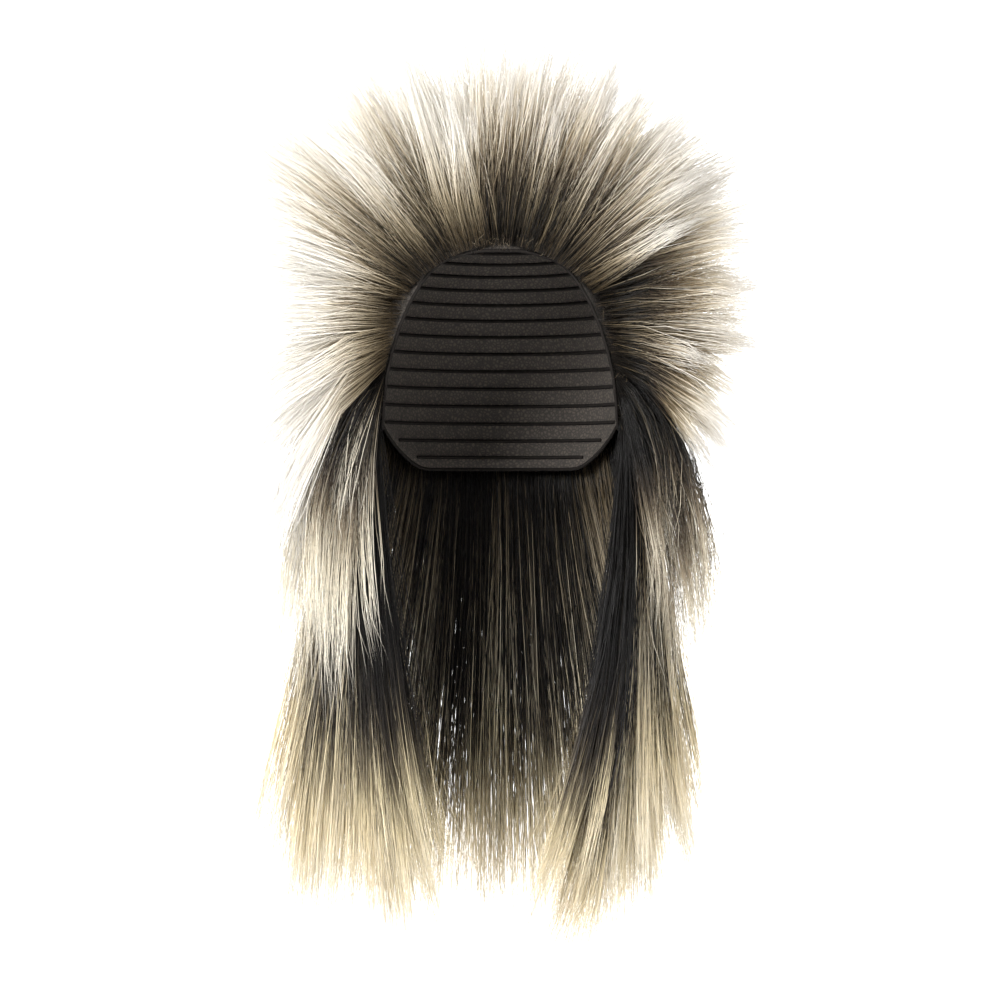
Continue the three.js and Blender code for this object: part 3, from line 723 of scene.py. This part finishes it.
def hanging(direction, tip, hold, spring):
    """Four control points for each lock that leaves the head and falls."""
    root = direction * (HEAD + ROOT_LIFT) - (0, 0, HEAD[2])
    fall = root[:, 2] - tip[:, 2]
    over = root + unit(direction / HEAD) * (1, 1, 0) * spring[:, None]
    over[:, 2] -= fall * DROOP
    before = tip + (root - tip) * hold[:, None]
    before[:, 2] = tip[:, 2] + fall * BEND
    return np.stack([root, over, before, tip], axis=1)


def layer_guide(side, turns, tip_turns, length):
    """Control points for locks of the mid layer, between two turns from the ear line."""
    def guide(along, across, size):
        turn = turns[0] + (turns[1] - turns[0]) * along
        tip_turn = tip_turns[0] + (tip_turns[1] - tip_turns[0]) * along
        beyond = LAYER_STANDOUT * (1.2 - 0.7 * across) * (1 + 0.08 * size)
        height = -LAYER_LENGTH * length * (1.06 + 0.15 * size - 0.12 * across)
        direction = round_direction(side, turn, 0.88 + 0.12 * across)
        tip = round_tip(side, tip_turn, beyond, height)
        return hanging(direction, tip, np.zeros(len(turn)), beyond * (SPRING - 0.5 * across))
    return guide


layered_fibre = dyed_fibre("layered_synthetic_hair", dark=[
    (0.25, "#12100e"), (0.40, "#3b3228"), (0.50, "#80735f"), (0.60, "#c4bba8"),
    (0.74, "#e9e2d0"), (1.0, "#f5f0e4")], light=[
    (0.06, "#1d1916"), (0.20, "#635846"), (0.34, "#a79b86"), (0.48, "#d8d0bf"),
    (0.62, "#ece6d6"), (1.0, "#f6f2e7")], warmth=0.2)
# The right layer gets a darker tone and shorter dye than the left, and the side layers are darker at
# their front by the face: painted shade on the shaded right and where the head would shade them, painted
# light on the lit left, over the dye's own tones.
LAYERS = [
    {"name": "left", "side": -1, "turns": (-28, 54), "tips": (-32, 54), "seam": (0, 1.1),
     "length": 1.0, "front_tone": 0.5, "tone": 1.1, "dyed": 1.12},
    {"name": "right", "side": 1, "turns": (-28, 54), "tips": (-32, 54), "seam": (0, 1.1),
     "length": 1.0, "front_tone": 0.0, "tone": 0.25, "dyed": 0.87},
    {"name": "back", "side": 1, "turns": (58, 122), "tips": (58, 122), "seam": (-0.12, 1.12),
     "length": 1.1, "front_tone": 0.5, "tone": 0.5, "dyed": 1.0},
]
for number, row in enumerate(LAYERS):
    spots, share, place, common, rng = comb(
        layer_guide(row["side"], row["turns"], row["tips"], row["length"]), seed=16 + number,
        locks=42, fibres=42, patch=(0.11, 0.4), stray=0.0042, cut=0.4, steps=LONG_STEPS,
        seam=row["seam"])
    tone = np.interp(place[0], (0.05, 0.4), (row["front_tone"], row["tone"]))
    tone = tone + 0.3 * common + rng.normal(0, 0.16, len(common))
    dyed = (share * row["dyed"]).clip(0, 1)
    hair = fibre_mesh(row["name"] + "_layer_hair", spots, dyed, tone, rng)
    fit(hair, row["name"] + "_mid_layer", layered_fibre)

# Long lengths: straight locks that fall past the shoulders, dark and streaked, with blonde ends.
# The innermost ones frame the face and are nearly black: dark dye deepened with painted shade where the
# head would shade them.
CURTAIN_HALF_WIDTH = 0.138
CURTAIN_DEPTH = 0.100
LENGTHS_DROP = 0.444
# The face-side stations' near-zero tone is partly painted shade where the head would shade them.
LEFT_STATIONS = [  # from the face to the back
    {"turn": -21, "out": 0.20, "back": -0.62, "drop": 0.985, "hold": 0.75, "spring": 0.004, "tone": 0.02},
    {"turn": -8, "out": 0.38, "back": -0.56, "drop": 0.965, "hold": 0.6, "spring": 0.008, "tone": 0.2},
    {"turn": 8, "out": 0.64, "back": -0.40, "drop": 0.93, "hold": 0.35, "spring": 0.018, "tone": 0.5},
    {"turn": 26, "out": 1.03, "back": -0.15, "drop": 0.95, "hold": 0.1, "spring": 0.048, "tone": 0.82},
    {"turn": 42, "out": 1.0, "back": 0.20, "drop": 0.9, "hold": 0.1, "spring": 0.046, "tone": 0.76},
    {"turn": 60, "out": 0.76, "back": 0.56, "drop": 0.93, "hold": 0.15, "spring": 0.022, "tone": 0.4},
]
# The right stations' tones sit below the left's: partly the locks' own tone, partly painted shade on the
# shaded right side.
RIGHT_STATIONS = [
    {"turn": -21, "out": 0.07, "back": -0.64, "drop": 0.975, "hold": 0.85, "spring": 0.004, "tone": 0.02},
    {"turn": -8, "out": 0.27, "back": -0.58, "drop": 1.0, "hold": 0.8, "spring": 0.006, "tone": 0.08},
    {"turn": 8, "out": 0.50, "back": -0.46, "drop": 0.98, "hold": 0.7, "spring": 0.014, "tone": 0.38},
    {"turn": 26, "out": 0.76, "back": -0.20, "drop": 0.9, "hold": 0.5, "spring": 0.044, "tone": 0.75},
    {"turn": 42, "out": 0.95, "back": 0.20, "drop": 0.86, "hold": 0.1, "spring": 0.050, "tone": 0.7},
    {"turn": 60, "out": 0.78, "back": 0.56, "drop": 0.92, "hold": 0.15, "spring": 0.022, "tone": 0.4},
]
# The back lengths' low tone is painted shade, darkening the hair that hangs behind the neck.
BACK_STATIONS = [
    {"turn": 55, "out": 0.74, "back": 0.68, "drop": 0.94, "hold": 0.2, "spring": 0.020, "tone": 0.3},
    {"turn": 90, "out": 0.0, "back": 0.98, "drop": 1.0, "hold": 0.3, "spring": 0.020, "tone": 0.3},
    {"turn": 125, "out": -0.74, "back": 0.68, "drop": 0.95, "hold": 0.2, "spring": 0.020, "tone": 0.3},
]


def lengths_guide(side, stations, low_from):
    """Control points for long locks; rows reach below the ears only behind low_from."""
    def guide(along, across, size):
        low = across * np.clip((along - low_from) / 0.3, 0.12, 1)
        direction = round_direction(
            side, read_table(stations, "turn", along), 1.03 + 0.25 * low)
        tuck = 1.03 - 0.2 * low
        drop = read_table(stations, "drop", along) * (1.06 + 0.045 * size)
        tip = np.stack([
            side * CURTAIN_HALF_WIDTH * read_table(stations, "out", along) * tuck,
            CURTAIN_DEPTH * read_table(stations, "back", along) * tuck, -LENGTHS_DROP * drop], axis=-1)
        spring = read_table(stations, "spring", along) * (1 - 0.7 * across)
        return hanging(direction, tip, read_table(stations, "hold", along), spring)
    return guide


# The first dark stop is deepened to near black, partly as painted shade for the shaded lengths by the
# face and at the back.
long_fibre = dyed_fibre("long_synthetic_hair", dark=[
    (0.44, "#0b0908"), (0.56, "#28231e"), (0.64, "#766c58"), (0.70, "#d0c3a1"),
    (0.78, "#f2e6ca"), (1.0, "#faf5e8")], light=[
    (0.10, "#191613"), (0.25, "#635846"), (0.44, "#a99d87"), (0.60, "#d4cbb7"),
    (0.74, "#ecdfbe"), (1.0, "#f8f3e6")], warmth=0.25)
LENGTHS = [
    {"name": "left", "side": -1, "stations": LEFT_STATIONS, "low_from": 0.45,
     "locks": 64, "fibres": 66, "patch": 0.09, "loose": 0.62},
    {"name": "right", "side": 1, "stations": RIGHT_STATIONS, "low_from": 0.45,
     "locks": 64, "fibres": 66, "patch": 0.09, "loose": 0.62},
    {"name": "back", "side": 1, "stations": BACK_STATIONS, "low_from": -0.4,
     "locks": 80, "fibres": 44, "patch": 0.12, "loose": 0.0},
]
for number, row in enumerate(LENGTHS):
    spots, share, place, common, rng = comb(
        lengths_guide(row["side"], row["stations"], row["low_from"]), seed=21 + number,
        locks=row["locks"], fibres=row["fibres"], patch=(row["patch"], 0.4), stray=0.0044,
        cut=0.3, steps=LONG_STEPS, loose=row["loose"])
    tone = read_table(row["stations"], "tone", place[0])
    tone = tone + 0.42 * common * np.clip(tone * 3, 0, 1) + rng.normal(0, 0.13, len(common))
    hair = fibre_mesh(row["name"] + "_length_hair", spots, share, tone, rng, coarse=1.12)
    fit(hair, row["name"] + "_long_lengths", long_fibre)
